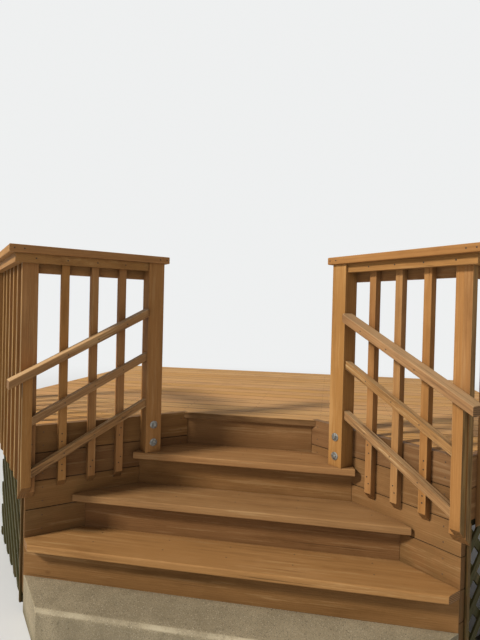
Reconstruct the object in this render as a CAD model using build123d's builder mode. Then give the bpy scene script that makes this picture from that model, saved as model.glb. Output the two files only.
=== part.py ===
"""Wooden deck stairs: three treads over a concrete step, in a splayed recess of a raised deck.

Millimetres, +Z up. The origin lies on the ground, on the centre line, below the face of the
first wooden riser. The stairs climb towards +Y. The left side is modelled and mirrored.
"""
import os
from math import cos, radians, sin, tan

from build123d import *

# Stairs
RISE = 190.0
GOING = 205.0
NOSING = 64.0
TREADS = 3
TREAD_T = 38.0
TREAD_NOSE_R = 7.0
NOSE_TRIM = 29.0
RISER_T = 25.0
HALF_TOP = 375.0
SPLAY = 47.5
SIDE_GAP = 0.5

# Concrete step
STEP_FRONT = 250.0
STEP_BACK = 262.0
STEP_NOSE_R = 28.0

# Stringers
STRINGER_T = 38.0
STRINGER_THROAT = 115.0
INNER_STRINGER_X = 320.0
OUTER_STRINGER_X = 690.0

# Boards and framing
BOARD_W = 140.0
BOARD_T = 38.0
WALL_GAP = 4.0
WALL_BOARDS = 6
RETURN_BOARDS = 2
DECK_GAP = 5.0
DECK_ROWS = 16
DECK_NOSING = 18.0
DECK_T = 38.0
JOIST_H = 184.0
JOIST_T = 38.0
JOIST_BAYS = 4
HEADER_H = 286.0
POST = 89.0
JOINT = 0.5

# Guard
GUARD_H = 914.0
CAP_T = 38.0
CAP_W = 140.0
CAP_INSET = 33.0
CAP_LIP = 23.0
CAP_EDGE_R = 4.0
STICK = 38.0
OUTER_RAIL_H = 44.0
INNER_RAIL_H = 89.0
WALL_BALUSTERS = 3
RETURN_BALUSTERS = 5

# Sloping rails, by the height of their lower edge above the deck at the newel
RAIL_PITCH = 27.5
HANDRAIL_W = 89.0
HANDRAIL_EDGE_R = 6.0
HANDRAIL_CORNER_R = 30.0
RAIL_T = 38.0
HANDRAIL_Z = 580.0
MID_RAIL_Z = 329.0
LOW_RAIL_Z = 68.0
HANDRAIL_RUN_ON = 100.0
CORNER_POST_W = 46.0
CORNER_POST_LAP = 14.0

# Lattice skirt
LATH_W = 38.0
LATH_T = 9.0
LATH_PITCH = 108.0
LATTICE_GROUND_GAP = 30.0

STEP_TOP = RISE
STAIR_RUN = TREADS * GOING
DECK_TOP = STEP_TOP + (TREADS + 1) * RISE
DECK_UNDER = DECK_TOP - DECK_T
JOIST_UNDER = DECK_UNDER - JOIST_H
SIN = sin(radians(SPLAY))
COS = cos(radians(SPLAY))
TAN = tan(radians(SPLAY))
WALL_L = STAIR_RUN / COS
BOARD_PITCH = BOARD_W + WALL_GAP
CAP_UNDER = DECK_TOP + GUARD_H - CAP_T
NEWEL_END = (GOING + NOSING - POST * SIN) / COS
NEWEL_START = NEWEL_END - POST
BALUSTER_FOOT = DECK_TOP - RETURN_BOARDS * BOARD_PITCH
BALUSTER_GAP = (WALL_L - STICK - NEWEL_END - WALL_BALUSTERS * STICK) / (WALL_BALUSTERS + 1)
RETURN_L = RETURN_BALUSTERS * STICK + (RETURN_BALUSTERS + 1) * BALUSTER_GAP + POST

LOW_CORNER = (Align.MIN, Align.MIN, Align.MIN)


def half_width(y):
    """Half the clear width between the side walls at depth y."""
    return HALF_TOP + (STAIR_RUN - y) * TAN


def beside_wall(y):
    """Left plan point at depth y, clear of the side wall."""
    return (SIDE_GAP / COS - half_width(y), y)


def on_wall(along, out):
    """Plan point of the left side wall: along it from the deck, out from its face."""
    return (-HALF_TOP - along * SIN + out * COS, STAIR_RUN - along * COS - out * SIN)


def on_return(along, out):
    """Plan point of the left return: along it from the front corner, out from its face."""
    return on_wall(WALL_L + out, -along)


WALL = Plane(origin=(*on_wall(0, 0), 0), x_dir=(-SIN, -COS, 0), z_dir=(0, 0, 1))
RETURN = Plane(origin=(*on_return(0, 0), 0), x_dir=(-COS, SIN, 0), z_dir=(0, 0, 1))


def wall_section(out):
    """Upright plane parallel to the left wall: X along the wall, Y up, Z into the wall."""
    return Plane(origin=(*on_wall(0, out), 0), x_dir=(-SIN, -COS, 0), z_dir=(-COS, SIN, 0))


def return_section(out):
    """Upright plane parallel to the left return: X towards its corner, Y up, Z outwards."""
    return Plane(origin=(*on_return(0, out), 0), x_dir=(COS, -SIN, 0), z_dir=(-SIN, -COS, 0))


def across_wall(along):
    """Upright plane across the left wall: X out of its face, Y up, Z along it."""
    return Plane(origin=(*on_wall(along, 0), 0), x_dir=(COS, -SIN, 0), z_dir=(-SIN, -COS, 0))


def across_return(along):
    """Upright plane across the left return: X out of its face, Y up, Z along it."""
    return Plane(origin=(*on_return(along, 0), 0), x_dir=(-SIN, -COS, 0), z_dir=(-COS, SIN, 0))


def board(along, out, up):
    """Box between pairs of limits along, out and up on the current plane."""
    with Locations((along[0], out[0], up[0])):
        Box(along[1] - along[0], out[1] - out[0], up[1] - up[0], align=LOW_CORNER)


def both_sides(points):
    """Left plan points from front to back, closed by their mirror images."""
    return list(points) + [(-x, y) for x, y in reversed(points)]


def save(builder, name):
    builder.part.label = name
    export_step(builder.part, f"parts/{name}.step")


def save_pair(builder, name):
    save(builder, f"left_{name}")
    with BuildPart() as twin:
        mirror(builder.part, about=Plane.YZ)
    save(twin, f"right_{name}")


os.makedirs("parts", exist_ok=True)

# Concrete step, its ends in the planes of the returns and its front edge worn round
with BuildPart() as concrete_step:
    with BuildSketch():
        Polygon(*both_sides([
            on_wall(WALL_L, STEP_FRONT / SIN),
            on_wall(WALL_L, SIDE_GAP),
            beside_wall(STEP_BACK),
        ]))
    extrude(amount=STEP_TOP)
    fillet(concrete_step.edges().filter_by(Axis.X).group_by(Axis.Y)[0].sort_by(Axis.Z)[-1], STEP_NOSE_R)
save(concrete_step, "concrete_step")

# Treads: the lowest one ends in the planes of the returns, and the noses of the others stop
# further from the side walls the higher they lie
for step in range(1, TREADS + 1):
    seat = STEP_TOP + step * RISE - TREAD_T
    face = (step - 1) * GOING
    if step == 1:
        ends = [on_wall(WALL_L, NOSING / SIN), on_wall(WALL_L, SIDE_GAP)]
    else:
        nose_x, nose_y = beside_wall(face - NOSING)
        ends = [(nose_x + (step - 1) * NOSE_TRIM, nose_y), beside_wall(face)]
    ends.append(beside_wall(step * GOING))
    with BuildPart() as tread:
        with BuildSketch(Plane.XY.offset(seat)):
            Polygon(*both_sides(ends))
        extrude(amount=TREAD_T)
        fillet(tread.edges().filter_by(Axis.X).group_by(Axis.Y)[0], TREAD_NOSE_R)
    save(tread, f"tread_{step}")

# Risers, each between the seats of the treads below and above it
for step in range(1, TREADS + 2):
    foot = STEP_TOP if step == 1 else STEP_TOP + (step - 1) * RISE - TREAD_T
    head = STEP_TOP + step * RISE - TREAD_T
    face = (step - 1) * GOING
    with BuildPart() as riser:
        with BuildSketch(Plane.XY.offset(foot)):
            Polygon(*both_sides([beside_wall(face), beside_wall(face + RISER_T)]))
        extrude(amount=head - foot)
    save(riser, f"riser_{step}")


def stringer_profile(steps, back):
    """Sawtooth profile in Y and Z, standing on the concrete step and cut plumb at the back."""
    slope = RISE / GOING
    points = [(RISER_T, STEP_TOP)]
    for step in range(1, steps + 1):
        seat = STEP_TOP + step * RISE - TREAD_T
        points.append((RISER_T + (step - 1) * GOING, seat))
        points.append((min(RISER_T + step * GOING, back), seat))
    notch_y = RISER_T + GOING
    low_z = STEP_TOP + RISE - TREAD_T - STRINGER_THROAT * (1 + slope**2) ** 0.5
    points.append((back, low_z + (back - notch_y) * slope))
    points.append((notch_y + (STEP_TOP - low_z) / slope, STEP_TOP))
    return points


# Stringers: three up to the deck's header, and two short ones that end at the side walls
header_front = on_wall(0, -BOARD_T)[1]
wall_end = STAIR_RUN - (OUTER_STRINGER_X + STRINGER_T / 2 - HALF_TOP) / TAN - SIDE_GAP / SIN
with BuildPart() as stringers:
    for x in (-INNER_STRINGER_X, 0, INNER_STRINGER_X):
        with BuildSketch(Plane.YZ.offset(x - STRINGER_T / 2)):
            Polygon(*stringer_profile(TREADS, header_front))
        extrude(amount=STRINGER_T)
    for x in (-OUTER_STRINGER_X, OUTER_STRINGER_X):
        with BuildSketch(Plane.YZ.offset(x - STRINGER_T / 2)):
            Polygon(*stringer_profile(TREADS - 1, wall_end))
        extrude(amount=STRINGER_T)
save(stringers, "stringers")

# Side wall boards, from the deck's level down
with BuildPart(WALL) as wall_boards:
    for row in range(WALL_BOARDS):
        top = DECK_TOP - row * BOARD_PITCH
        board((0, WALL_L), (-BOARD_T, 0), (top - BOARD_W, top))
save_pair(wall_boards, "wall_boards")

# Return boards, the upper rows only, cut in line with the deck's side
with BuildPart() as return_boards:
    for row in range(RETURN_BOARDS):
        with BuildSketch(Plane.XY.offset(DECK_TOP - row * BOARD_PITCH - BOARD_W)):
            Polygon(
                on_return(BOARD_T, 0),
                on_return(RETURN_L, 0),
                on_return(RETURN_L + BOARD_T * TAN, -BOARD_T),
                on_return(BOARD_T, -BOARD_T),
            )
        extrude(amount=BOARD_W)
save_pair(return_boards, "return_boards")

# Deck framing: header over the stairs, rim, joists and posts
side_x = on_return(RETURN_L, 0)[0]
deck_front = STAIR_RUN - DECK_NOSING
deck_back = deck_front + DECK_ROWS * (BOARD_W + DECK_GAP) - DECK_GAP
beyond_deck = 2 * (deck_back - side_x)
frame_points = both_sides([
    on_wall(0, -BOARD_T),
    on_wall(WALL_L - BOARD_T, -BOARD_T),
    on_return(RETURN_L + BOARD_T * TAN, -BOARD_T),
    (side_x, deck_back),
])
rim_out = -BOARD_T - JOIST_T
header_back = header_front + JOIST_T
mitre_along = (STAIR_RUN - header_back - rim_out * SIN) / COS
header_points = both_sides([on_wall(0, -BOARD_T), on_wall(0, rim_out), on_wall(mitre_along, rim_out)])

with BuildPart() as stair_header:
    with BuildSketch(Plane.XY.offset(DECK_UNDER - HEADER_H)):
        Polygon(*header_points)
    extrude(amount=HEADER_H)
save(stair_header, "stair_header")

return_rim_end = on_return(RETURN_L - rim_out * TAN, rim_out)
with BuildPart() as left_rims:
    with BuildSketch(Plane.XY.offset(JOIST_UNDER)):
        Polygon(
            on_wall(0, -BOARD_T),
            on_wall(WALL_L + rim_out - JOINT, -BOARD_T),
            on_wall(WALL_L + rim_out - JOINT, rim_out),
            on_wall(0, rim_out),
        )
        Polygon(
            on_return(BOARD_T, -BOARD_T),
            on_return(RETURN_L + BOARD_T * TAN, -BOARD_T),
            return_rim_end,
            on_return(BOARD_T, rim_out),
        )
        Polygon(
            (side_x, return_rim_end[1] + JOINT / COS),
            (side_x + JOIST_T, return_rim_end[1] + JOINT / COS - JOIST_T * TAN),
            (side_x + JOIST_T, deck_back - JOIST_T - JOINT),
            (side_x, deck_back - JOIST_T - JOINT),
        )
    extrude(amount=JOIST_H)
with BuildPart() as rim_joists:
    add(left_rims.part)
    mirror(about=Plane.YZ)
    board((side_x, -side_x), (deck_back - JOIST_T, deck_back), (JOIST_UNDER, DECK_UNDER))
save(rim_joists, "rim_joists")

joist_pitch = (-side_x - JOIST_T / 2) / JOIST_BAYS
with BuildPart() as joists:
    with BuildSketch(Plane.XY.offset(JOIST_UNDER)):
        Polygon(*frame_points)
        offset(amount=-JOIST_T, kind=Kind.INTERSECTION, mode=Mode.REPLACE)
        with GridLocations(joist_pitch, 1, 2 * JOIST_BAYS, 1):
            Rectangle(joist_pitch - JOIST_T, beyond_deck, mode=Mode.SUBTRACT)
    extrude(amount=JOIST_H)
save(joists, "joists")

behind = (-BOARD_T - POST, -BOARD_T)
with BuildPart(WALL) as wall_posts:
    board((0, POST), behind, (0, JOIST_UNDER))
    board((WALL_L - BOARD_T - POST, WALL_L - BOARD_T), behind, (0, JOIST_UNDER))
with BuildPart(RETURN) as return_post:
    board((RETURN_L - POST, RETURN_L), behind, (0, JOIST_UNDER))
with BuildPart() as deck_posts:
    add(wall_posts.part)
    add(return_post.part)
    board((side_x, side_x + POST), (deck_back - POST, deck_back), (0, JOIST_UNDER))
    mirror(about=Plane.YZ)
    board((-POST / 2, POST / 2), (deck_back - POST, deck_back), (0, JOIST_UNDER))
save(deck_posts, "deck_posts")

# Deck boards, laid across the line of the stairs, with a nosing over the top riser
with BuildPart() as deck_boards:
    with BuildSketch(Plane.XY.offset(DECK_UNDER)):
        Polygon(*both_sides([
            beside_wall(deck_front),
            on_wall(-SIDE_GAP, SIDE_GAP),
            on_wall(-SIDE_GAP, -BOARD_T - SIDE_GAP),
            on_wall(WALL_L - BOARD_T - SIDE_GAP, -BOARD_T - SIDE_GAP),
            on_return(RETURN_L + BOARD_T * TAN, -BOARD_T - SIDE_GAP),
            (side_x, deck_back),
        ]))
        with Locations((0, deck_front - DECK_GAP / 2)):
            with GridLocations(1, BOARD_W + DECK_GAP, 1, 2 * DECK_ROWS + 1):
                Rectangle(beyond_deck, DECK_GAP, mode=Mode.SUBTRACT)
    extrude(amount=DECK_T)
    nosing = deck_boards.edges().filter_by(Axis.X)
    nosing = nosing.filter_by_position(Axis.Y, deck_front - JOINT, deck_front + JOINT)
    fillet(nosing.filter_by_position(Axis.X, -HALF_TOP, HALF_TOP), TREAD_NOSE_R)
save(deck_boards, "deck_boards")

# Newels: one on the top tread with a corner over its nose, one at the end of the return
with BuildPart(WALL) as newel:
    board((NEWEL_START, NEWEL_END), (0, POST), (DECK_TOP - RISE, CAP_UNDER))
save_pair(newel, "newel")

with BuildPart(RETURN) as end_newel:
    board((RETURN_L - POST, RETURN_L), (0, POST), (BALUSTER_FOOT, CAP_UNDER))
save_pair(end_newel, "end_newel")

# Balusters with feet cut back at 45 degrees; the last of the wall and the first of the return
# stand side by side at the corner and carry on the cut of the corner post before them
baluster_pitch = STICK + BALUSTER_GAP
corner_foot = BALUSTER_FOOT - STICK


def stick_side(foot):
    """Side of a baluster in X and Y, its back at X = 0 longer than its front."""
    return [(0, foot - STICK), (STICK, foot), (STICK, CAP_UNDER), (0, CAP_UNDER)]


with BuildPart() as wall_balusters:
    for number in range(1, WALL_BALUSTERS + 2):
        with BuildSketch(across_wall(NEWEL_END + number * baluster_pitch - STICK)):
            Polygon(*stick_side(BALUSTER_FOOT if number <= WALL_BALUSTERS else corner_foot))
        extrude(amount=STICK)
save_pair(wall_balusters, "wall_balusters")

with BuildPart() as return_balusters:
    with BuildSketch(across_wall(WALL_L)):
        Polygon(*stick_side(corner_foot))
    extrude(amount=STICK)
    for number in range(1, RETURN_BALUSTERS + 1):
        with BuildSketch(across_return(number * baluster_pitch - STICK)):
            Polygon(*stick_side(BALUSTER_FOOT))
        extrude(amount=STICK)
save_pair(return_balusters, "return_balusters")

# Caps, mitred at the corner
cap_out = CAP_W - CAP_INSET
along_wall = Axis((0, 0, 0), (SIN, COS, 0))
along_return = Axis((0, 0, 0), (-COS, SIN, 0))
with BuildPart() as wall_cap:
    with BuildSketch(Plane.XY.offset(CAP_UNDER)):
        Polygon(
            on_wall(NEWEL_START - CAP_LIP, -CAP_INSET),
            on_wall(NEWEL_START - CAP_LIP, cap_out),
            on_wall(WALL_L + cap_out, cap_out),
            on_wall(WALL_L - CAP_INSET, -CAP_INSET),
        )
    extrude(amount=CAP_T)
    fillet(wall_cap.edges().filter_by(along_wall) + wall_cap.edges().filter_by(along_return), CAP_EDGE_R)
save_pair(wall_cap, "wall_cap")

with BuildPart() as return_cap:
    with BuildSketch(Plane.XY.offset(CAP_UNDER)):
        Polygon(
            on_return(-cap_out, cap_out),
            on_return(RETURN_L + CAP_LIP, cap_out),
            on_return(RETURN_L + CAP_LIP, -CAP_INSET),
            on_return(CAP_INSET, -CAP_INSET),
        )
    extrude(amount=CAP_T)
    fillet(return_cap.edges().filter_by(along_wall) + return_cap.edges().filter_by(along_return), CAP_EDGE_R)
save_pair(return_cap, "return_cap")

# Rails under the caps, turning the corner outside and inside the balusters
with BuildPart() as outer_rail:
    with BuildSketch(Plane.XY.offset(CAP_UNDER - OUTER_RAIL_H)):
        Polygon(
            on_wall(NEWEL_END, STICK),
            on_wall(NEWEL_END, 2 * STICK),
            on_wall(WALL_L + 2 * STICK - JOINT, 2 * STICK),
            on_wall(WALL_L + STICK - JOINT, STICK),
        )
        Polygon(
            on_return(JOINT - 2 * STICK, 2 * STICK),
            on_return(RETURN_L - POST, 2 * STICK),
            on_return(RETURN_L - POST, STICK),
            on_return(JOINT - STICK, STICK),
        )
    extrude(amount=OUTER_RAIL_H)
save_pair(outer_rail, "outer_top_rail")

with BuildPart() as inner_rail:
    with BuildSketch(Plane.XY.offset(CAP_UNDER - INNER_RAIL_H)):
        Polygon(
            on_wall(NEWEL_START, -STICK),
            on_wall(NEWEL_START, 0),
            on_wall(WALL_L, 0),
            on_wall(WALL_L, -STICK),
        )
        Polygon(
            on_return(STICK + JOINT, -STICK),
            on_return(STICK + JOINT, 0),
            on_return(RETURN_L, 0),
            on_return(RETURN_L, -STICK),
        )
    extrude(amount=INNER_RAIL_H)
save_pair(inner_rail, "inner_top_rail")

# Sloping rails from the newel to the corner post
rail_slope = tan(radians(RAIL_PITCH))
rail_rise = RAIL_T / cos(radians(RAIL_PITCH))
corner_start = WALL_L - CORNER_POST_LAP
corner_end = corner_start + CORNER_POST_W
rail_way = Axis((0, 0, 0), (-SIN, -COS, -rail_slope))


def rail_edge(low_z, along):
    """Height of a sloping edge that starts low_z above the deck at the newel."""
    return DECK_TOP + low_z - (along - NEWEL_END) * rail_slope


def rail_profile(low_z, end):
    """Sloping rail between the newel's side and a plumb cut."""
    low_start = rail_edge(low_z, NEWEL_END)
    low_end = rail_edge(low_z, end)
    return [
        (NEWEL_END, low_start),
        (end, low_end),
        (end, low_end + rail_rise),
        (NEWEL_END, low_start + rail_rise),
    ]


# Handrail, its upper end rounded where it passes in front of the newel
with BuildPart() as handrail:
    with BuildSketch(wall_section(STICK + HANDRAIL_W)):
        Polygon(*rail_profile(HANDRAIL_Z, WALL_L + HANDRAIL_RUN_ON))
    extrude(amount=HANDRAIL_W)
    upper_end = handrail.edges().filter_by(Axis.Z).group_by(Axis.Z)[-1]
    fillet(upper_end.sort_by(Axis.Y)[0], HANDRAIL_CORNER_R)
    fillet(handrail.edges().filter_by(rail_way), HANDRAIL_EDGE_R)
save_pair(handrail, "handrail")

with BuildPart() as lower_rails:
    for low_z in (MID_RAIL_Z, LOW_RAIL_Z):
        with BuildSketch(wall_section(2 * STICK)):
            Polygon(*rail_profile(low_z, corner_start))
        extrude(amount=STICK)
save_pair(lower_rails, "lower_rails")

with BuildPart() as corner_post:
    with BuildSketch(wall_section(2 * STICK)):
        Polygon(
            (corner_start, corner_foot),
            (corner_end, corner_foot),
            (corner_end, rail_edge(HANDRAIL_Z, corner_end)),
            (corner_start, rail_edge(HANDRAIL_Z, corner_start)),
        )
    extrude(amount=STICK)
    with BuildSketch(across_wall(corner_start)):
        Polygon((STICK, corner_foot), (2 * STICK, corner_foot), (2 * STICK, BALUSTER_FOOT))
    extrude(amount=CORNER_POST_W, mode=Mode.SUBTRACT)
save_pair(corner_post, "corner_post")

# Lattice skirt under the return: two layers of crossing laths before a plain frame
lattice_low = LATTICE_GROUND_GAP
lattice_high = BALUSTER_FOOT
lattice_mid = (-(BOARD_T + RETURN_L) / 2, (lattice_low + lattice_high) / 2)
lattice_l = RETURN_L - BOARD_T
lattice_h = lattice_high - lattice_low
lath_count = int((lattice_l + lattice_h) / LATH_PITCH / 2**0.5) + 1
with BuildPart() as lattice:
    for layer, lean in ((0, 45), (1, -45)):
        with BuildSketch(return_section(-(layer + 1) * LATH_T)):
            with Locations(Location((*lattice_mid, 0), (0, 0, lean))):
                with GridLocations(LATH_PITCH, 1, lath_count, 1):
                    Rectangle(LATH_W, lattice_l + lattice_h)
            with Locations(lattice_mid):
                Rectangle(lattice_l, lattice_h, mode=Mode.INTERSECT)
        extrude(amount=LATH_T)
    with BuildSketch(return_section(-BOARD_T)):
        with Locations(lattice_mid):
            Rectangle(lattice_l, lattice_h)
            Rectangle(lattice_l - 2 * LATH_W, lattice_h - 2 * LATH_W, mode=Mode.SUBTRACT)
    extrude(amount=BOARD_T - 2 * LATH_T)
save_pair(lattice, "lattice")
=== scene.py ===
"""Looks of the wooden deck stairs: stained softwood, a concrete step, nails, bolts and trim.

Metres, +Z up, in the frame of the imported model. The stairs climb towards +Y. side is -1 on the
left and 1 on the right, seen from the foot of the stairs.
"""
from math import cos, pi, radians, sin, tan

import bmesh
import bpy
from mathutils import Matrix, Vector


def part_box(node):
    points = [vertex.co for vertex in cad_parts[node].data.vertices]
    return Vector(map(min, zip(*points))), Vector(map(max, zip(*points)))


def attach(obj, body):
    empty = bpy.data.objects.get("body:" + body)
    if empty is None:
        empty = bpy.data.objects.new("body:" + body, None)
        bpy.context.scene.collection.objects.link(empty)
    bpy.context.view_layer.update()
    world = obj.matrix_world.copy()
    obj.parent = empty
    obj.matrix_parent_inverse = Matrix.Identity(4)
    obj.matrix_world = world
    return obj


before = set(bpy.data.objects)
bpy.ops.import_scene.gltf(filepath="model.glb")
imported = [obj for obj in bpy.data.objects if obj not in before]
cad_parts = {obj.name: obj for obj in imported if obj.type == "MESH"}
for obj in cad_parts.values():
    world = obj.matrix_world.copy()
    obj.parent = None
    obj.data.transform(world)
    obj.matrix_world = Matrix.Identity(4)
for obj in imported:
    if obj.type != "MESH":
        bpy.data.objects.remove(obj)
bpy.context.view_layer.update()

UP = Vector((0.0, 0.0, 1.0))
ACROSS = Vector((1.0, 0.0, 0.0))
BACK = Vector((0.0, 1.0, 0.0))
SIDES = ((-1, "left"), (1, "right"))

# Sizes of the solids
SPLAY = radians(47.5)
RAIL_PITCH = radians(27.5)
RISE = 0.19
GOING = 0.205
TREAD_T = 0.038
TREADS = 3
STRINGER_X = (-0.69, -0.32, 0.0, 0.32, 0.69)
BOARD_PITCH = 0.144
WALL_GAP = 0.004
WALL_BOARDS = 6
RETURN_BOARDS = 2
DECK_PITCH = 0.145
DECK_GAP = 0.005
DECK_NOSING = 0.018
JOIST_BAYS = 4
STICK = 0.038
POST = 0.089
NEWEL_END = 0.301
WALL_BALUSTERS = 3
RETURN_BALUSTERS = 5
CAP_EDGE = 0.107
HANDRAIL_W = 0.089
HANDRAIL_Z = 0.580
MID_RAIL_Z = 0.329
LOW_RAIL_Z = 0.068
RAIL_MIDDLE = 0.0213

# Levels and plan sizes read from the frame
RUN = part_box("riser_4")[0].y
HALF_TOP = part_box("riser_4")[1].x
STEP_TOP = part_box("concrete_step")[1].z
DECK_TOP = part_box("deck_boards")[1].z
DECK_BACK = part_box("deck_boards")[1].y
DECK_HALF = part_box("deck_boards")[1].x
CAP_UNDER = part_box("left_wall_cap")[0].z

# Sizes that follow
SIN = sin(SPLAY)
COS = cos(SPLAY)
WALL_L = RUN / COS
FOOT = DECK_TOP - RETURN_BOARDS * BOARD_PITCH
DECK_FRONT = RUN - DECK_NOSING
BALUSTER_GAP = (WALL_L - STICK - NEWEL_END - WALL_BALUSTERS * STICK) / (WALL_BALUSTERS + 1)
BALUSTER_PITCH = BALUSTER_GAP + STICK
RETURN_L = RETURN_BALUSTERS * STICK + (RETURN_BALUSTERS + 1) * BALUSTER_GAP + POST

# Camera, fitted to the photograph
CAMERA_AT = Vector((0.467, -2.249, 1.549))
YAW = radians(-10.55)
PITCH_DOWN = radians(0.63)
ROLL = radians(1.41)
FOCAL_PX = 489.0
IMAGE_H_PX = 640.0
SENSOR = 36.0

# Stage
BACKGROUND = (0.86, 0.87, 0.87, 1.0)
SKY_COLOUR = (1.0, 0.98, 0.95, 1.0)
SKY_STRENGTH = 0.25
FLOOR_TONES = ((0.69, 0.71, 0.74, 1.0), (0.73, 0.75, 0.78, 1.0))
FLOOR_HALF = 60.0
FADE_FROM = 4.0
FADE_TO = 13.0


def wall_dir(side):
    """Along a side wall from the deck to the front."""
    return Vector((side * SIN, -COS, 0.0))


def wall_out(side):
    """Out of a side wall's face, over the stairs."""
    return Vector((-side * COS, -SIN, 0.0))


def return_dir(side):
    """Along a return, from the front corner to the deck's side."""
    return Vector((side * COS, SIN, 0.0))


def return_out(side):
    """Out of a return's face."""
    return Vector((side * SIN, -COS, 0.0))


def on_wall(side, along, out, z):
    """Point of a side wall: along it from the deck, out from its face, at height z."""
    return Vector((side * HALF_TOP, RUN, z)) + wall_dir(side) * along + wall_out(side) * out


def on_return(side, along, out, z):
    """Point of a return: along it from the front corner, out from its face, at height z."""
    return on_wall(side, WALL_L, 0.0, z) + return_dir(side) * along + return_out(side) * out


def tone(red, green, blue):
    """Linear colour from 0 to 255 display values."""
    def channel(value):
        value /= 255.0
        return value / 12.92 if value <= 0.04045 else ((value + 0.055) / 1.055) ** 2.4
    return (channel(red), channel(green), channel(blue), 1.0)


class Graph:
    """A node tree, with short calls for the nodes used here."""

    def __init__(self, tree):
        self.tree = tree

    def feed(self, socket, value):
        """Links another node's output to the socket, or sets a constant on it."""
        if isinstance(value, bpy.types.NodeSocket):
            self.tree.links.new(value, socket)
        else:
            socket.default_value = value

    def node(self, kind, *values, named=None, **settings):
        """New node with these settings; values feed its first inputs, named the ones it names."""
        made = self.tree.nodes.new(kind)
        for key, value in settings.items():
            setattr(made, key, value)
        for socket, value in zip(made.inputs, values):
            self.feed(socket, value)
        for key, value in (named or {}).items():
            self.feed(made.inputs[key], value)
        return made

    def math(self, operation, *values):
        return self.node("ShaderNodeMath", *values, operation=operation).outputs[0]

    def times(self, first, *others):
        """Product of two or more values."""
        for other in others:
            first = self.math("MULTIPLY", first, other)
        return first

    def dot(self, first, second):
        made = self.node("ShaderNodeVectorMath", first, second, operation="DOT_PRODUCT")
        return made.outputs["Value"]

    def vector(self, x, y, z):
        return self.node("ShaderNodeCombineXYZ", x, y, z).outputs[0]

    def noise(self, vector, scale=1.0, detail=3.0, roughness=0.5):
        named = {"Vector": vector, "Scale": scale, "Detail": detail, "Roughness": roughness}
        return self.node("ShaderNodeTexNoise", named=named).outputs["Fac"]

    def cells(self, vector, scale=1.0):
        """Outputs with the Distance to the nearest cell's middle and the cell's random Color."""
        named = {"Vector": vector, "Scale": scale}
        return self.node("ShaderNodeTexVoronoi", named=named, feature="F1").outputs

    def random(self, value):
        """Three random numbers for each value."""
        named = {"W": value}
        made = self.node("ShaderNodeTexWhiteNoise", named=named, noise_dimensions="1D")
        return self.channels(made.outputs["Color"])

    def channels(self, colour):
        return self.node("ShaderNodeSeparateColor", colour).outputs[:3]

    def span(self, value, low, high, to_low=0.0, to_high=1.0):
        """Smooth step of the value from low to high; low may be the larger one."""
        values = (value, low, high, to_low, to_high)
        return self.node("ShaderNodeMapRange", *values, interpolation_type="SMOOTHSTEP").outputs[0]

    def mix(self, factor, first, second):
        """First colour, turned into the second as the factor goes to 1."""
        made = self.node("ShaderNodeMix", data_type="RGBA", clamp_factor=True)
        for at, value in ((0, factor), (6, first), (7, second)):
            self.feed(made.inputs[at], value)
        return made.outputs[2]

    def mix_shaders(self, factor, first, second):
        return self.node("ShaderNodeMixShader", factor, first, second).outputs[0]

    def seen_directly(self):
        """1 for camera, glossy and transmission rays."""
        path = self.node("ShaderNodeLightPath").outputs
        seen = self.math("MAXIMUM", path["Is Camera Ray"], path["Is Glossy Ray"])
        return self.math("MAXIMUM", seen, path["Is Transmission Ray"])


class Surface(Graph):
    """A material's node tree."""

    def __init__(self, name):
        self.material = bpy.data.materials.new(name)
        self.material.use_nodes = True
        super().__init__(self.material.node_tree)
        self.shader = self.tree.nodes["Principled BSDF"]
        self.place = self.node("ShaderNodeTexCoord").outputs["Object"]
        self.normal = self.node("ShaderNodeNewGeometry").outputs["True Normal"]

    def height(self):
        """Height above the ground."""
        return self.dot(self.place, UP)

    def bump(self, height, distance, normal):
        named = {"Distance": distance, "Height": height, "Normal": normal}
        return self.node("ShaderNodeBump", named=named).outputs[0]

    def bevel(self, radius):
        return self.node("ShaderNodeBevel", named={"Radius": radius}, samples=4).outputs[0]

    def occlusion(self, distance):
        named = {"Distance": distance}
        return self.node("ShaderNodeAmbientOcclusion", named=named, samples=4).outputs["AO"]

    def edge(self, rounded):
        """1 on sharp edges, 0 on flat faces, from a bevelled normal."""
        return self.span(self.dot(rounded, self.normal), 0.995, 0.80)

    def finish(self, colour, roughness, normal):
        """Material with these on its shader."""
        self.feed(self.shader.inputs["Base Color"], colour)
        self.feed(self.shader.inputs["Roughness"], roughness)
        self.feed(self.shader.inputs["Normal"], normal)
        return self.material


class Timber(Surface):
    """A wood material's node tree, with coordinates that follow the fibres.

    face is an axis across the fibres, in the widest side. row is (axis, pitch, offset) of the
    boards that share the material, and each gets its own figure. Without grain, the fibres run
    level along each upright face.
    """

    def __init__(self, name, grain, face, row, seed):
        super().__init__(name)
        if grain is None:
            level = self.node("ShaderNodeVectorMath", UP, self.normal, operation="CROSS_PRODUCT")
            axes = (level.outputs[0], UP, (0.31, 0.27, 0.0))
        else:
            axes = (grain, face, grain.cross(face))
        number = seed
        if row is not None:
            axis, pitch, offset = row
            from_first = self.math("SUBTRACT", self.dot(self.place, axis), offset)
            self.counted = self.math("DIVIDE", from_first, pitch)
            number = self.math("ADD", self.math("FLOOR", self.counted), seed)
        self.random_three = self.random(number)
        shifted = zip(axes, self.random_three, (19.0, 7.0, 5.0))
        self.fibre_place = [self.math("MULTIPLY_ADD", draw, reach, self.dot(self.place, axis))
                            for axis, draw, reach in shifted]

    def stretched(self, long, wide):
        """Texture place with these scales along and across the fibres."""
        scaled = zip(self.fibre_place, (long, wide, wide))
        return self.vector(*(self.times(part, scale) for part, scale in scaled))


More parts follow.
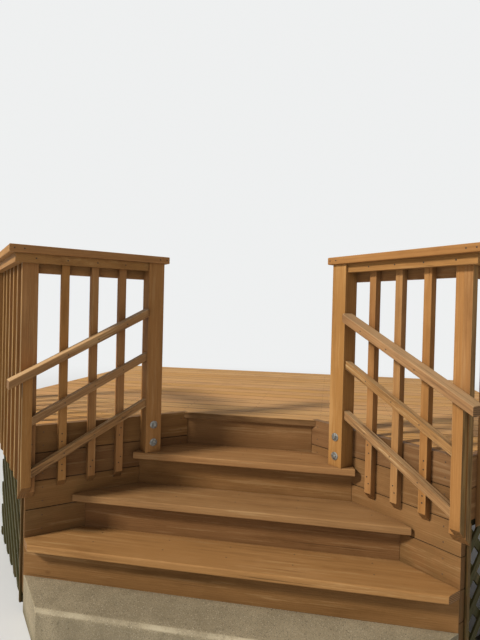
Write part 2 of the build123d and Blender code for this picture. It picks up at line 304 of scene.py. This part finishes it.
# Stain tones: darker, base and paler wood, then the rubbed edge's tone, also used as painted light
# on upper sides
GOLDEN = (tone(130, 91, 52), tone(158, 115, 70), tone(176, 132, 85), tone(200, 160, 112))
RAIL = (tone(110, 78, 47), tone(154, 115, 74), tone(182, 142, 97), tone(210, 176, 130))
TREAD = (tone(132, 95, 59), tone(153, 114, 73), tone(167, 128, 87), tone(192, 155, 113))
# Riser tones: their stain, darker than the treads' in part as painted shade
RISER_STAIN_AND_SHADE = (tone(106, 75, 43), tone(130, 95, 59), tone(146, 109, 71), tone(168, 131, 90))
WALL = (tone(102, 71, 40), tone(126, 91, 55), tone(143, 106, 67), tone(168, 131, 89))
DECK = (tone(166, 122, 70), tone(200, 152, 94), tone(216, 170, 112), tone(222, 184, 132))
FRAMING = (tone(98, 80, 56), tone(130, 108, 78), tone(147, 125, 94), tone(166, 145, 114))
LATTICE = (tone(38, 36, 18), tone(60, 56, 31), tone(78, 73, 43), tone(104, 96, 62))
KNOT = tone(86, 57, 31)
MOSS = tone(70, 70, 40)
# Dark dirt for checks, end grain and joints, and also the colour of the painted shade in corners
DIRT_AND_SHADE = tone(62, 44, 26)

# Wood that has lost its stain, and the dark and dry streaks of weathered wood
BARE = (tone(96, 72, 40), tone(146, 114, 68))
DRY = (tone(88, 62, 40), tone(206, 174, 128))


def wood(name, stain, grain=None, face=None, row=None, seed=0.0, wear=0.6, moss=0.0, ring=0.3,
         bare=None, aged=0.15, bleach=0.25, seam=0.0, stripped=BARE):
    """Stained softwood; grain, face, row and seed are as in Timber.

    wear is for rubbed edges, ring for the growth rings and moss for damp near the ground. Sides
    that look along bare have lost their stain to the weather and show the stripped tones. aged is
    how far that has gone in streaks elsewhere, and bleach how much paler the upper
    sides are made, for sun bleaching and as painted light on the tops. seam darkens the boards
    beside the joints between the rows.
    """
    g = Timber(name, grain, face, row, seed)
    dark, base, pale, worn_and_top_light = stain
    first, second, third = g.random_three
    u, v, w = g.fibre_place

    # Figure of the wood
    streak = g.noise(g.stretched(1.1, 21.0), detail=5.0, roughness=0.6)
    patch = g.noise(g.stretched(2.6, 4.2), detail=5.0, roughness=0.62)
    fibre = g.noise(g.stretched(7.0, 210.0), detail=4.0, roughness=0.65)
    warp = g.noise(g.stretched(0.7, 4.0), detail=2.0, roughness=0.45)
    across = g.math("ADD", v, g.times(w, 0.6))
    phase = g.math("MULTIPLY_ADD", warp, 16.0, g.times(across, 620.0))
    rings = g.math("POWER", g.math("MULTIPLY_ADD", g.math("SINE", phase), 0.5, 0.5), 3.0)
    check = g.span(g.noise(g.stretched(1.6, 75.0), detail=2.0), 0.70, 0.78)
    knots = g.cells(g.stretched(4.6, 8.0))
    few = g.math("GREATER_THAN", g.channels(knots["Color"])[0], 0.90)
    knot = g.times(g.span(knots["Distance"], 0.13, 0.05), few)
    figure = g.math("MULTIPLY_ADD", streak, 0.5, g.times(patch, 0.5))

    # Stain over the figure
    colour = g.mix(g.span(figure, 0.32, 0.50), dark, base)
    colour = g.mix(g.span(figure, 0.50, 0.70), colour, pale)
    colour = g.mix(g.times(rings, ring), colour, g.mix(0.6, colour, dark))
    colour = g.mix(g.span(fibre, 0.42, 0.70, 0.0, 0.30), colour, g.mix(0.8, colour, dark))
    colour = g.mix(g.span(fibre, 0.46, 0.30, 0.0, 0.22), colour, pale)

    # Upper sides: sun bleaching and painted light; then weathered streaks, checks and knots
    # Painted light on the upper sides, paled toward the rubbed-edge tone, also standing for sun
    # bleaching
    bleached_and_lit_top = g.span(g.dot(g.normal, UP), 0.5, 0.8, 0.0, bleach)
    colour = g.mix(g.times(bleached_and_lit_top, g.span(figure, 0.30, 0.55, 0.6, 1.0)), colour, worn_and_top_light)
    weather = g.noise(g.stretched(2.0, 44.0), detail=5.0, roughness=0.7)
    reach = g.span(g.noise(g.stretched(1.5, 9.0), detail=3.0), 0.36, 0.56, 0.0, aged)
    colour = g.mix(g.times(g.span(weather, 0.51, 0.60), reach), colour, DRY[0])
    colour = g.mix(g.times(g.span(weather, 0.46, 0.38), reach), colour, DRY[1])
    colour = g.mix(g.times(check, 0.40), colour, DIRT_AND_SHADE)
    colour = g.mix(g.times(knot, 0.55), colour, KNOT)

    # A tone of its own for each board
    colour = g.node("ShaderNodeHueSaturation", named={
        "Hue": g.math("MULTIPLY_ADD", second, 0.006, 0.497),
        "Saturation": g.math("MULTIPLY_ADD", third, 0.08, 0.96),
        "Value": g.math("MULTIPLY_ADD", first, 0.14, 0.93),
        "Color": colour}).outputs[0]

    # End grain
    if grain is not None:
        pith = g.vector(g.times(u, 2.0), v, w)
        bands = g.node("ShaderNodeTexWave", wave_type="RINGS", rings_direction="X",
                       named={"Vector": pith, "Scale": 42.0, "Distortion": 2.5}).outputs["Fac"]
        butt = g.mix(bands, g.mix(0.75, dark, DIRT_AND_SHADE), g.mix(0.35, base, dark))
        end = g.span(g.math("ABSOLUTE", g.dot(g.normal, grain)), 0.48, 0.62)
        colour = g.mix(g.times(end, 0.9), colour, butt)

    # Rubbed edges and stripped sides
    rounded = g.bevel(0.0032)
    frayed = g.span(g.noise(g.stretched(6.0, 22.0), detail=4.0, roughness=0.6), 0.38, 0.62)
    rubbed = g.times(g.edge(rounded), frayed)
    colour = g.mix(g.times(rubbed, wear), colour, worn_and_top_light)
    if bare is not None:
        side_on = g.span(g.dot(g.normal, bare), 0.45, 0.60)
        worn_off = g.noise(g.stretched(3.0, 34.0), detail=5.0, roughness=0.65)
        low = g.span(g.height(), 1.9, 0.9, 0.6, 1.0)
        cover = g.times(side_on, low, g.span(patch, 0.2, 0.45, 0.6, 1.0))
        colour = g.mix(cover, colour, g.mix(g.span(worn_off, 0.36, 0.62), *stripped))

    # Dirt beside the joints, painted shade in corners and sheltered places, and moss near the
    # ground
    if seam:
        beside = g.math("ABSOLUTE", g.math("SUBTRACT", g.math("FRACT", g.counted), 0.5))
        colour = g.mix(g.span(beside, 0.435, 0.495, 0.0, seam), colour, DIRT_AND_SHADE)
    # Painted shade: darker where the wood is occluded, close in corners and under sheltering parts
    painted_crevice_shade = g.times(g.span(g.occlusion(0.05), 0.70, 0.20), 0.45)
    painted_shelter_shade = g.times(g.span(g.occlusion(0.16), 0.62, 0.12), 0.55)
    colour = g.mix(g.math("MAXIMUM", painted_crevice_shade, painted_shelter_shade), colour, DIRT_AND_SHADE)
    if moss:
        spots = g.span(g.noise(g.place, scale=13.0, detail=6.0, roughness=0.7), 0.42, 0.64)
        damp = g.times(g.span(g.height(), 0.9, 0.0), g.math("MULTIPLY_ADD", spots, 0.8, 0.2))
        colour = g.mix(g.times(damp, moss), colour, MOSS)

    rough = g.math("MULTIPLY_ADD", figure, 0.30, 0.50)
    rough = g.math("MULTIPLY_ADD", rubbed, 0.12, rough)
    g.shader.inputs["Specular IOR Level"].default_value = 0.1
    relief = g.math("MULTIPLY_ADD", fibre, 0.6, g.times(streak, 0.4))
    for part, depth in ((rings, -0.18), (check, -0.9), (knot, 0.3)):
        relief = g.math("MULTIPLY_ADD", part, depth, relief)
    return g.finish(colour, rough, g.bump(relief, 0.0011, rounded))


def concrete(name):
    """Worn poured concrete: coarse sand, pebbles, pits, stains and a pale front edge, rubbed and
    painted as a highlight.
    """
    g = Surface(name)
    cloud = g.noise(g.place, scale=2.6, detail=6.0, roughness=0.62)
    blotch = g.noise(g.place, scale=9.0, detail=5.0, roughness=0.6)
    colour = g.mix(g.span(cloud, 0.34, 0.66), tone(140, 128, 104), tone(162, 149, 123))
    colour = g.mix(g.span(blotch, 0.50, 0.74, 0.0, 0.40), colour, tone(122, 111, 88))

    # Pebbles, pits and sand
    stones = g.cells(g.place, scale=150.0)
    chosen, paleness, _ = g.channels(stones["Color"])
    inside = g.span(stones["Distance"], 0.50, 0.28)
    shown = g.times(inside, g.math("GREATER_THAN", chosen, 0.5))
    pebble = g.mix(paleness, tone(84, 76, 62), tone(196, 184, 160))
    colour = g.mix(g.times(shown, 0.75), colour, pebble)
    pits = g.span(g.noise(g.place, scale=75.0, detail=3.0), 0.66, 0.74)
    colour = g.mix(g.times(pits, 0.5), colour, tone(82, 72, 56))
    sand = g.noise(g.place, scale=330.0, detail=3.0, roughness=0.75)
    colour = g.mix(g.span(sand, 0.45, 0.64, 0.0, 0.62), colour, tone(88, 79, 62))

    # Pale front edge, as rubbed wear and a painted highlight, and pale wear along the edges
    smooth_normal = g.node("ShaderNodeNewGeometry").outputs["Normal"]
    # Painted highlight on the rounded front edge where it faces up and forward, together with
    # rubbed wear
    front_edge_wear_and_highlight = g.span(g.dot(smooth_normal, (0.0, -0.64, 0.77)), 0.88, 0.97)
    chipped = g.noise(g.place, scale=24.0, detail=5.0, roughness=0.7)
    chipped = g.span(chipped, 0.30, 0.52, 0.25, 1.0)
    stretch = g.span(g.noise(g.place, scale=3.1, detail=3.0), 0.42, 0.58, 0.15, 0.70)
    colour = g.mix(g.times(front_edge_wear_and_highlight, chipped, stretch), colour, tone(192, 180, 154))
    rounded = g.bevel(0.012)
    rubbed = g.times(g.edge(rounded), chipped)
    colour = g.mix(g.times(rubbed, 0.75), colour, tone(200, 188, 160))

    # Runs down the upright sides, damp at the ground and painted shade in corners
    height = g.height()
    upright = g.span(g.math("ABSOLUTE", g.dot(g.normal, UP)), 0.5, 0.2)
    sideways = g.times(g.dot(g.place, (1.0, 0.3, 0.0)), 13.0)
    runs = g.noise(g.vector(sideways, 0.0, g.times(height, 3.0)), detail=5.0, roughness=0.6)
    runs = g.times(upright, g.span(runs, 0.40, 0.70, 0.12, 0.45))
    colour = g.mix(runs, colour, tone(106, 96, 76))
    damp = g.times(g.span(height, 0.08, 0.0), g.span(blotch, 0.30, 0.62))
    colour = g.mix(g.times(damp, 0.6), colour, tone(80, 78, 52))
    # Painted shade: darker where the concrete is occluded, in corners
    painted_corner_shade = g.span(g.occlusion(0.06), 0.75, 0.20)
    colour = g.mix(g.times(painted_corner_shade, 0.5), colour, tone(78, 66, 48))

    g.shader.inputs["Specular IOR Level"].default_value = 0.25
    relief = g.math("MULTIPLY_ADD", sand, 0.35, g.times(blotch, 0.9))
    for part, depth in ((shown, 0.14), (pits, -0.7)):
        relief = g.math("MULTIPLY_ADD", part, depth, relief)
    rough = g.span(cloud, 0.3, 0.7, 0.82, 0.95)
    return g.finish(colour, rough, g.bump(relief, 0.003, rounded))


def steel(name, dull, bright, metal, rough):
    """Weathered steel with blotches and spangles of tone, brighter on its edges."""
    g = Surface(name)
    spangle = g.cells(g.place, scale=260.0)["Distance"]
    blotch = g.noise(g.place, scale=90.0, detail=4.0, roughness=0.65)
    colour = g.mix(g.span(blotch, 0.35, 0.65), dull, bright)
    colour = g.mix(g.span(spangle, 0.1, 0.6, 0.0, 0.35), colour, dull)
    rounded = g.bevel(0.0006)
    colour = g.mix(g.times(g.edge(rounded), 0.5), colour, bright)
    g.shader.inputs["Metallic"].default_value = metal
    return g.finish(colour, g.span(blotch, 0.3, 0.7, rough, rough + 0.2),
                    g.bump(blotch, 0.0003, rounded))


def dress(node, material):
    """Gives every slot of a solid the material."""
    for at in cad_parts[node].material_slots:
        at.material = material


def rows_along(direction, point, pitch):
    """Row setting whose first boundary passes through the point."""
    return (direction, pitch, direction.dot(point))


# Rows that part the figures of like pieces
TREAD_ROWS = (UP, RISE, 0.3)
RISER_ROWS = (UP, RISE, RISE - TREAD_T)
DECK_ROWS = (BACK, DECK_PITCH, DECK_FRONT - DECK_GAP / 2)
STRINGER_ROWS = (ACROSS, 0.2, 0.1)
JOIST_ROWS = (ACROSS, 0.42, 0.21)
POST_ROWS = (ACROSS, 0.3, 0.15)
BOARD_ROWS = (UP, BOARD_PITCH, DECK_TOP + WALL_GAP / 2)


def dress_stairs():
    """Materials of the treads, the risers and the step."""
    treads = wood("tread_wood", TREAD, ACROSS, BACK, TREAD_ROWS, seed=3.0, wear=0.5, aged=0.2,
                  bleach=0.0)
    risers = wood("riser_wood", RISER_STAIN_AND_SHADE, ACROSS, UP, RISER_ROWS, seed=17.0, wear=0.3, ring=0.35)
    for number in range(1, TREADS + 1):
        dress(f"tread_{number}", treads)
    for number in range(1, TREADS + 2):
        dress(f"riser_{number}", risers)
    dress("concrete_step", concrete("concrete"))


def dress_deck():
    """Materials of the deck and its framing; the deck's front edge is as brown as the risers,
    which is in part painted shade.
    """
    # The deck's front edge takes the riser tones, darker in part as painted shade
    dress("deck_boards", wood("deck_wood", DECK, ACROSS, BACK, DECK_ROWS, seed=41.0, wear=0.25,
                              bare=-BACK, aged=0.25, bleach=0.0, seam=0.45,
                              stripped=(RISER_STAIN_AND_SHADE[0], RISER_STAIN_AND_SHADE[2])))
    dress("stringers", wood("stringer_wood", FRAMING, Vector((0.0, COS, SIN)), ACROSS,
                            STRINGER_ROWS, moss=0.4))
    dress("stair_header", wood("header_wood", FRAMING, seed=5.0))
    dress("rim_joists", wood("rim_wood", FRAMING, seed=9.0, moss=0.2))
    dress("joists", wood("joist_wood", FRAMING, BACK, UP, JOIST_ROWS, seed=2.0))
    dress("deck_posts", wood("post_wood", FRAMING, UP, ACROSS, POST_ROWS, seed=7.0, moss=0.5))


def dress_side(side, hand):
    """Materials of the walls, guard, rails and lattice of one side."""
    seed = 50.0 + 30.0 * side
    along_wall = wall_dir(side)
    along_return = return_dir(side)
    facing = return_out(side)

    def clad(part, short, *setting, **finish):
        """Dresses the side's part in a wood of its own, which goes by the short name."""
        dress(f"{hand}_{part}", wood(f"{hand}_{short}_wood", *setting, **finish))

    clad("wall_boards", "wall", WALL, along_wall, UP, BOARD_ROWS, seed, wear=0.5, moss=0.3,
         seam=0.2)
    clad("return_boards", "return", WALL, along_return, UP, BOARD_ROWS, seed + 11, wear=0.5,
         moss=0.3, seam=0.2)

    clad("newel", "newel", GOLDEN, UP, along_wall, seed=seed + 1)
    clad("end_newel", "end_newel", GOLDEN, UP, along_return, seed=seed + 2)
    half_gap = BALUSTER_GAP / 2
    rows = rows_along(along_wall, on_wall(side, NEWEL_END + half_gap, 0.0, 0.0), BALUSTER_PITCH)
    clad("wall_balusters", "wall_stick", GOLDEN, UP, along_wall, rows, seed + 3)
    rows = rows_along(along_return, on_return(side, half_gap, 0.0, 0.0), BALUSTER_PITCH)
    clad("return_balusters", "return_stick", GOLDEN, UP, along_return, rows, seed + 4, wear=0.7,
         bare=facing)
    clad("corner_post", "corner", GOLDEN, UP, along_wall, seed=seed + 5, wear=0.9, moss=0.4,
         bare=facing)
    clad("wall_cap", "cap", GOLDEN, along_wall, wall_out(side), seed=seed + 6, wear=0.9)
    clad("return_cap", "return_cap", GOLDEN, along_return, facing, seed=seed + 7, wear=0.9)
    clad("outer_top_rail", "outer_rail", GOLDEN, seed=seed + 8)
    clad("inner_top_rail", "inner_rail", GOLDEN, seed=seed + 9)

    downhill = (along_wall * cos(RAIL_PITCH) - UP * sin(RAIL_PITCH)).normalized()
    over = (along_wall * sin(RAIL_PITCH) + UP * cos(RAIL_PITCH)).normalized()
    rail_gap = (MID_RAIL_Z - LOW_RAIL_Z) * cos(RAIL_PITCH)
    mid_rail = on_wall(side, NEWEL_END, 0.0, DECK_TOP + MID_RAIL_Z)
    rows = rows_along(over, mid_rail - over * (rail_gap - STICK) / 2, rail_gap)
    clad("handrail", "handrail", RAIL, downhill, over, seed=seed + 10, wear=0.8, ring=0.45,
         aged=0.35, bleach=0.5)
    clad("lower_rails", "lower_rail", RAIL, downhill, over, rows, seed + 12, wear=0.9, ring=0.5,
         aged=0.85, bleach=0.45)
    clad("lattice", "lattice", LATTICE, (UP + along_return).normalized(),
         (UP - along_return).normalized(), seed=seed + 13, wear=0.4, moss=0.5)


def add(name, data):
    """New object in the scene."""
    made = bpy.data.objects.new(name, data)
    bpy.context.collection.objects.link(made)
    return made


def add_piece(name, mesh, material):
    """Piece of the object from a bmesh, which is used up."""
    data = bpy.data.meshes.new(name)
    mesh.to_mesh(data)
    mesh.free()
    data.materials.append(material)
    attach(add(name, data), "root")


# Profiles of the fixings: radius and height from foot to crown
NAIL = ((0.0036, -0.0006), (0.0036, 0.0003), (0.0029, 0.0006))
WASHER = ((0.0215, -0.0005), (0.0220, 0.0012), (0.0205, 0.0030), (0.0150, 0.0042))
BOLT_HEAD = ((0.0112, 0.0038), (0.0112, 0.0098), (0.0094, 0.0114))


class Fixings:
    """Small fixings gathered into one mesh."""

    def __init__(self):
        self.mesh = bmesh.new()

    def lathe(self, at, facing, profile, sides, turn=0.0):
        """Closed solid of revolution about facing."""
        facing = facing.normalized()
        first = facing.orthogonal().normalized()
        second = facing.cross(first)
        rings = []
        for radius, height in profile:
            ring = []
            for step in range(sides):
                angle = turn + 2 * pi * step / sides
                spoke = first * cos(angle) + second * sin(angle)
                ring.append(self.mesh.verts.new(at + spoke * radius + facing * height))
            rings.append(ring)
        for low, high in zip(rings, rings[1:]):
            for step in range(sides):
                after = (step + 1) % sides
                self.mesh.faces.new((low[step], low[after], high[after], high[step]))
        self.mesh.faces.new(rings[-1])
        self.mesh.faces.new(list(reversed(rings[0])))

    def nail(self, at, facing):
        """Flat nail head, its foot just under the surface."""
        self.lathe(at, facing, NAIL, 10)

    def bolt(self, at, facing, turn):
        """Dished washer with a hexagonal head on it."""
        self.lathe(at, facing, WASHER, 32)
        self.lathe(at, facing, BOLT_HEAD, 6, turn)

    def finish(self, name, material):
        add_piece(name, self.mesh, material)


# Places of the nails: back across deck boards and treads, down from the tops of wall boards, along
# the walls from the deck and the returns from the corner, and heights
DECK_BOARD_NAILS = (0.032, 0.108)
TREAD_NAILS = (0.045, 0.15)
WALL_BOARD_NAILS = (0.035, 0.105)
ALONG_WALL = (0.045, 0.455, WALL_L - 0.083)
ALONG_RETURN = (0.083, 0.5, RETURN_L - 0.12)
STICK_NAILS_Z = (FOOT + 0.05, FOOT + 0.082, DECK_TOP - 0.085, DECK_TOP - 0.045)
OUTER_RAIL_NAIL_Z = CAP_UNDER - 0.022
INNER_RAIL_NAIL_Z = CAP_UNDER - 0.045
CAP_NAIL_Z = CAP_UNDER + 0.019
ALONG_WALL_CAP = (0.205, 0.245, WALL_L + 0.04, WALL_L + 0.085)
ALONG_RETURN_CAP = (-0.085, -0.04, RETURN_L - 0.02, RETURN_L + 0.01)
NAIL_STRAY = 0.006

# The least that the nails of the deck and treads stay in from the walls and the deck's sides
FROM_WALL = 0.05
FROM_DECK_SIDE = 0.01
FROM_TREAD_END = 0.03

# Newel bolts: how far each is turned, and its height
NEWEL_BOLTS = ((0.3, 0.915), (0.8, 0.815))


def on_deck(x, y):
    """Whether a nail at this plan point holds in a deck board."""
    side = 1 if x > 0 else -1
    from_wall = Vector((x, y, 0.0)) - on_wall(side, 0.0, 0.0, 0.0)
    from_return = Vector((x, y, 0.0)) - on_return(side, 0.0, 0.0, 0.0)
    beside = from_wall.dot(wall_dir(side)) < 0.0 or from_wall.dot(wall_out(side)) < -FROM_WALL
    behind = from_return.dot(return_out(side)) < -FROM_WALL
    return beside and behind and abs(x) < DECK_HALF - FROM_DECK_SIDE


def nail_deck(nails):
    """Two nails where each deck board crosses a joist, also beside the stairs."""
    joist_pitch = (DECK_HALF - STICK / 2) / JOIST_BAYS
    rows_beside = round(DECK_FRONT / DECK_PITCH)
    for row in range(-rows_beside, round((DECK_BACK - DECK_FRONT) / DECK_PITCH)):
        for joist in range(-JOIST_BAYS, JOIST_BAYS + 1):
            for across in DECK_BOARD_NAILS:
                x = joist * joist_pitch
                y = DECK_FRONT + row * DECK_PITCH + across
                if (row >= 0 or abs(x) > HALF_TOP) and on_deck(x, y):
                    nails.nail(Vector((x, y, DECK_TOP)), UP)


def nail_treads(nails):
    """Two nails where each tread crosses a stringer."""
    for number in range(1, TREADS + 1):
        for x in STRINGER_X:
            for back in TREAD_NAILS:
                y = (number - 1) * GOING + back
                if abs(x) < HALF_TOP + (RUN - y) * SIN / COS - FROM_TREAD_END:
                    nails.nail(Vector((x, y, STEP_TOP + number * RISE)), UP)


def nail_boards(nails, side):
    """Nails of the wall boards and the return boards."""
    for boards, place, facing, places in (
            (WALL_BOARDS, on_wall, wall_out(side), ALONG_WALL),
            (RETURN_BOARDS, on_return, return_out(side), ALONG_RETURN)):
        for board in range(boards):
            for along in places:
                for down in WALL_BOARD_NAILS:
                    z = DECK_TOP - board * BOARD_PITCH - down
                    nails.nail(place(side, along, 0.0, z), facing)


def nail_rails(nails, side):
    """One nail where each sloping rail crosses a baluster."""
    for number in range(1, WALL_BALUSTERS + 1):
        along = NEWEL_END + number * BALUSTER_PITCH - STICK / 2
        middle = DECK_TOP + RAIL_MIDDLE - (along - NEWEL_END) * tan(RAIL_PITCH)
        for level, reach in ((MID_RAIL_Z, 2 * STICK), (LOW_RAIL_Z, 2 * STICK),
                             (HANDRAIL_Z, STICK + HANDRAIL_W)):
            nails.nail(on_wall(side, along, reach, middle + level), wall_out(side))


def nail_guard(nails, side):
    """Nails of the balusters, the top rails and the caps."""
    out = wall_out(side)
    out_return = return_out(side)
    for number in range(1, WALL_BALUSTERS + 2):
        along = NEWEL_END + number * BALUSTER_PITCH - STICK / 2
        for z in STICK_NAILS_Z:
            astray = NAIL_STRAY * sin(900.0 * z + number)
            nails.nail(on_wall(side, along + astray, STICK, z), out)
        nails.nail(on_wall(side, along, 2 * STICK, OUTER_RAIL_NAIL_Z), out)
        nails.nail(on_wall(side, along, -STICK, INNER_RAIL_NAIL_Z), -out)
    for number in range(RETURN_BALUSTERS + 1):
        along = number * BALUSTER_PITCH - STICK / 2
        nails.nail(on_return(side, along, 2 * STICK, OUTER_RAIL_NAIL_Z), out_return)
        if number:
            for z in STICK_NAILS_Z:
                nails.nail(on_return(side, along, STICK, z), out_return)
            nails.nail(on_return(side, along, -STICK, INNER_RAIL_NAIL_Z), -out_return)
    for along in ALONG_WALL_CAP:
        nails.nail(on_wall(side, along, CAP_EDGE, CAP_NAIL_Z), out)
    for along in ALONG_RETURN_CAP:
        nails.nail(on_return(side, along, CAP_EDGE, CAP_NAIL_Z), out_return)


def bolt_newels(bolts, side):
    """Two bolts through each newel."""
    for turn, z in NEWEL_BOLTS:
        bolts.bolt(on_wall(side, NEWEL_END - POST / 2, POST, z), wall_out(side), turn + side)
        bolts.bolt(on_return(side, RETURN_L - POST / 2, POST, z), return_out(side), turn - side)


# Board over the lattice's end at each front corner
TRIM_SIZE = (0.024, 0.012, FOOT - 0.032)
TRIM_FROM_CORNER = 0.0395
TRIM_OFF_LATTICE = 0.0005
TRIM_FOOT = 0.03
TRIM_EDGE = 0.0015


def add_trim(side, hand):
    """Upright board with eased edges over the end of one side's lattice."""
    along = return_dir(side)
    out = return_out(side)
    stain = (BARE[0], BARE[0], BARE[1], BARE[1])
    material = wood(f"{hand}_trim_wood", stain, UP, along, seed=77.0 + side, wear=0.5, moss=0.6)
    corner = on_return(side, TRIM_FROM_CORNER, TRIM_OFF_LATTICE, TRIM_FOOT)
    width, thick, height = TRIM_SIZE
    mesh = bmesh.new()
    verts = []
    for level in (0.0, height):
        for across, depth in ((0.0, 0.0), (width, 0.0), (width, thick), (0.0, thick)):
            verts.append(mesh.verts.new(corner + along * across + out * depth + UP * level))
    for face in ((3, 2, 1, 0), (4, 5, 6, 7), (0, 1, 5, 4), (1, 2, 6, 5), (2, 3, 7, 6),
                 (3, 0, 4, 7)):
        mesh.faces.new([verts[at] for at in face])
    bmesh.ops.recalc_face_normals(mesh, faces=mesh.faces)
    bmesh.ops.bevel(mesh, geom=mesh.edges[:], offset=TRIM_EDGE, segments=2, affect="EDGES")
    add_piece(f"{hand}_lattice_trim", mesh, material)


def add_camera():
    """Camera of the photograph."""
    ahead = Vector((sin(YAW) * cos(PITCH_DOWN), cos(YAW) * cos(PITCH_DOWN), -sin(PITCH_DOWN)))
    level = Vector((cos(YAW), -sin(YAW), 0.0))
    upward = level.cross(ahead)
    right = level * cos(ROLL) + upward * sin(ROLL)
    top = upward * cos(ROLL) - level * sin(ROLL)
    data = bpy.data.cameras.new("camera")
    data.sensor_fit = "VERTICAL"
    data.sensor_height = SENSOR
    data.lens = SENSOR * FOCAL_PX / IMAGE_H_PX
    made = add("camera", data)
    turn = Matrix((right, top, -ahead)).transposed().to_4x4()
    made.matrix_world = Matrix.Translation(CAMERA_AT) @ turn
    bpy.context.scene.camera = made


def add_lamp(name, at, towards, size, power, colour):
    """Large square area lamp."""
    data = bpy.data.lights.new(name, "AREA")
    data.size = size
    data.energy = power
    data.color = colour
    made = add(name, data)
    made.location = at
    made.rotation_euler = (Vector(towards) - Vector(at)).to_track_quat("-Z", "Y").to_euler()


def add_world():
    """Even soft light, and a pale background where the world is seen."""
    made = bpy.data.worlds.new("world")
    bpy.context.scene.world = made
    made.use_nodes = True
    g = Graph(made.node_tree)
    light = g.tree.nodes["Background"]
    light.inputs["Color"].default_value = SKY_COLOUR
    light.inputs["Strength"].default_value = SKY_STRENGTH
    pale = g.node("ShaderNodeBackground", BACKGROUND)
    seen = g.mix_shaders(g.seen_directly(), light.outputs[0], pale.outputs[0])
    g.feed(g.tree.nodes["World Output"].inputs["Surface"], seen)


def add_floor():
    """Plain pale floor that keeps the shadow and fades into the background far away."""
    mesh = bpy.data.meshes.new("floor")
    quarters = ((-1, -1), (1, -1), (1, 1), (-1, 1))
    corners = [(x * FLOOR_HALF, y * FLOOR_HALF, 0.0) for x, y in quarters]
    mesh.from_pydata(corners, [], [(0, 1, 2, 3)])
    g = Surface("floor")
    g.feed(g.shader.inputs["Base Color"], g.mix(g.noise(g.place, scale=2.0), *FLOOR_TONES))
    g.shader.inputs["Roughness"].default_value = 0.9
    away = g.node("ShaderNodeVectorMath", g.place, operation="LENGTH").outputs["Value"]
    fade = g.times(g.span(away, FADE_FROM, FADE_TO), g.seen_directly())
    pale = g.node("ShaderNodeEmission", BACKGROUND)
    seen = g.mix_shaders(fade, g.shader.outputs[0], pale.outputs[0])
    g.feed(g.tree.nodes["Material Output"].inputs["Surface"], seen)
    mesh.materials.append(g.material)
    add("floor", mesh)


dress_stairs()
dress_deck()
for side, hand in SIDES:
    dress_side(side, hand)

nail_steel = steel("nail_steel", tone(34, 26, 19), tone(66, 52, 39), metal=0.2, rough=0.6)
stained_steel = steel("stained_nail_steel", tone(76, 55, 34), tone(108, 82, 54), metal=0.15,
                      rough=0.6)
galvanised = steel("galvanised_steel", tone(108, 106, 100), tone(168, 166, 160), metal=0.75,
                   rough=0.38)
deck_nails = Fixings()
nail_deck(deck_nails)
nail_treads(deck_nails)
deck_nails.finish("deck_nails", stained_steel)
wall_nails = Fixings()
guard_nails = Fixings()
newel_bolts = Fixings()
for side, hand in SIDES:
    nail_boards(wall_nails, side)
    nail_rails(wall_nails, side)
    nail_guard(guard_nails, side)
    bolt_newels(newel_bolts, side)
    add_trim(side, hand)
wall_nails.finish("wall_nails", stained_steel)
guard_nails.finish("guard_nails", nail_steel)
newel_bolts.finish("newel_bolts", galvanised)

add_camera()
add_world()
add_floor()
add_lamp("key", at=(-30.0, -21.4, 28.1), towards=(0.0, 0.6, 0.9), size=6.4, power=23500.0,
         colour=(1.0, 0.95, 0.86))
add_lamp("fill", at=(3.0, -8.0, 3.5), towards=(0.0, 0.5, 1.0), size=5.0, power=80.0,
         colour=(1.0, 0.98, 0.95))
bpy.context.scene.view_settings.view_transform = "Standard"
